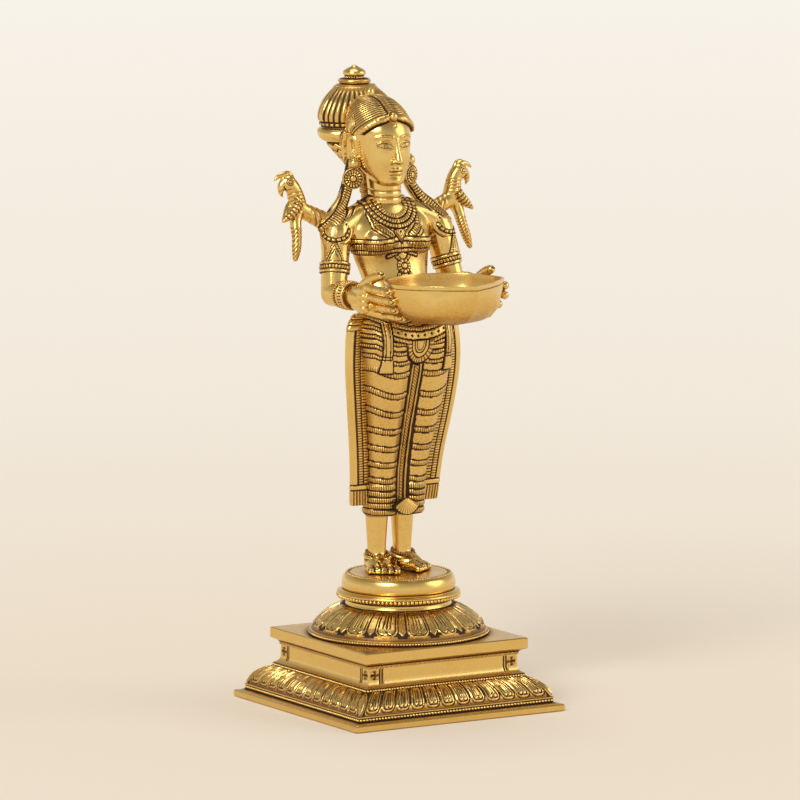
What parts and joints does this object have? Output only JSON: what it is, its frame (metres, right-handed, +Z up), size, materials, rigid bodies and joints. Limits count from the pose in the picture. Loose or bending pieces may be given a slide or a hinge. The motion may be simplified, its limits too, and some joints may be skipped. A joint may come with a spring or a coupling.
{
  "type": "deepalakshmi lamp",
  "caption": "Standing brass lamp bearer on a stepped square plinth, holding a pinched oil bowl in front with both hands; parrots on the shoulders, a finial on the hair bun.",
  "frame": {"origin": "centre of the overall bounding box's footprint, on the surface the lamp stands on", "axes": "+Z up, -Y the way the figure faces and holds the bowl, +X the figure's left hand"},
  "size_m": [0.203, 0.2284, 0.5334],
  "materials": {
    "brass": "polished cast brass with dark patina left in the grooves",
    "steel": "zinc-plated steel rod, washer and nut, hidden under the plinth"
  },
  "bodies": {
    "root": {"plinth": "brass", "lotus_dome": "brass", "bead_collar": "brass", "footstool": "brass", "clamp_rod": "steel", "clamp_washer": "steel", "clamp_nut": "steel", "foot_right": "brass", "foot_left": "brass", "skirt": "brass", "side_drape_right": "brass", "side_drape_left": "brass", "torso": "brass", "upper_arm_right": "brass", "upper_arm_left": "brass", "forearm_right": "brass", "forearm_left": "brass", "hand_right": "brass", "hand_left": "brass", "bowl": "brass", "head": "brass", "hair_bun": "brass", "finial": "brass", "braid": "brass", "earring_right": "brass", "earring_left": "brass", "parrot_right": "brass", "parrot_left": "brass"}
  },
  "joints": []
}
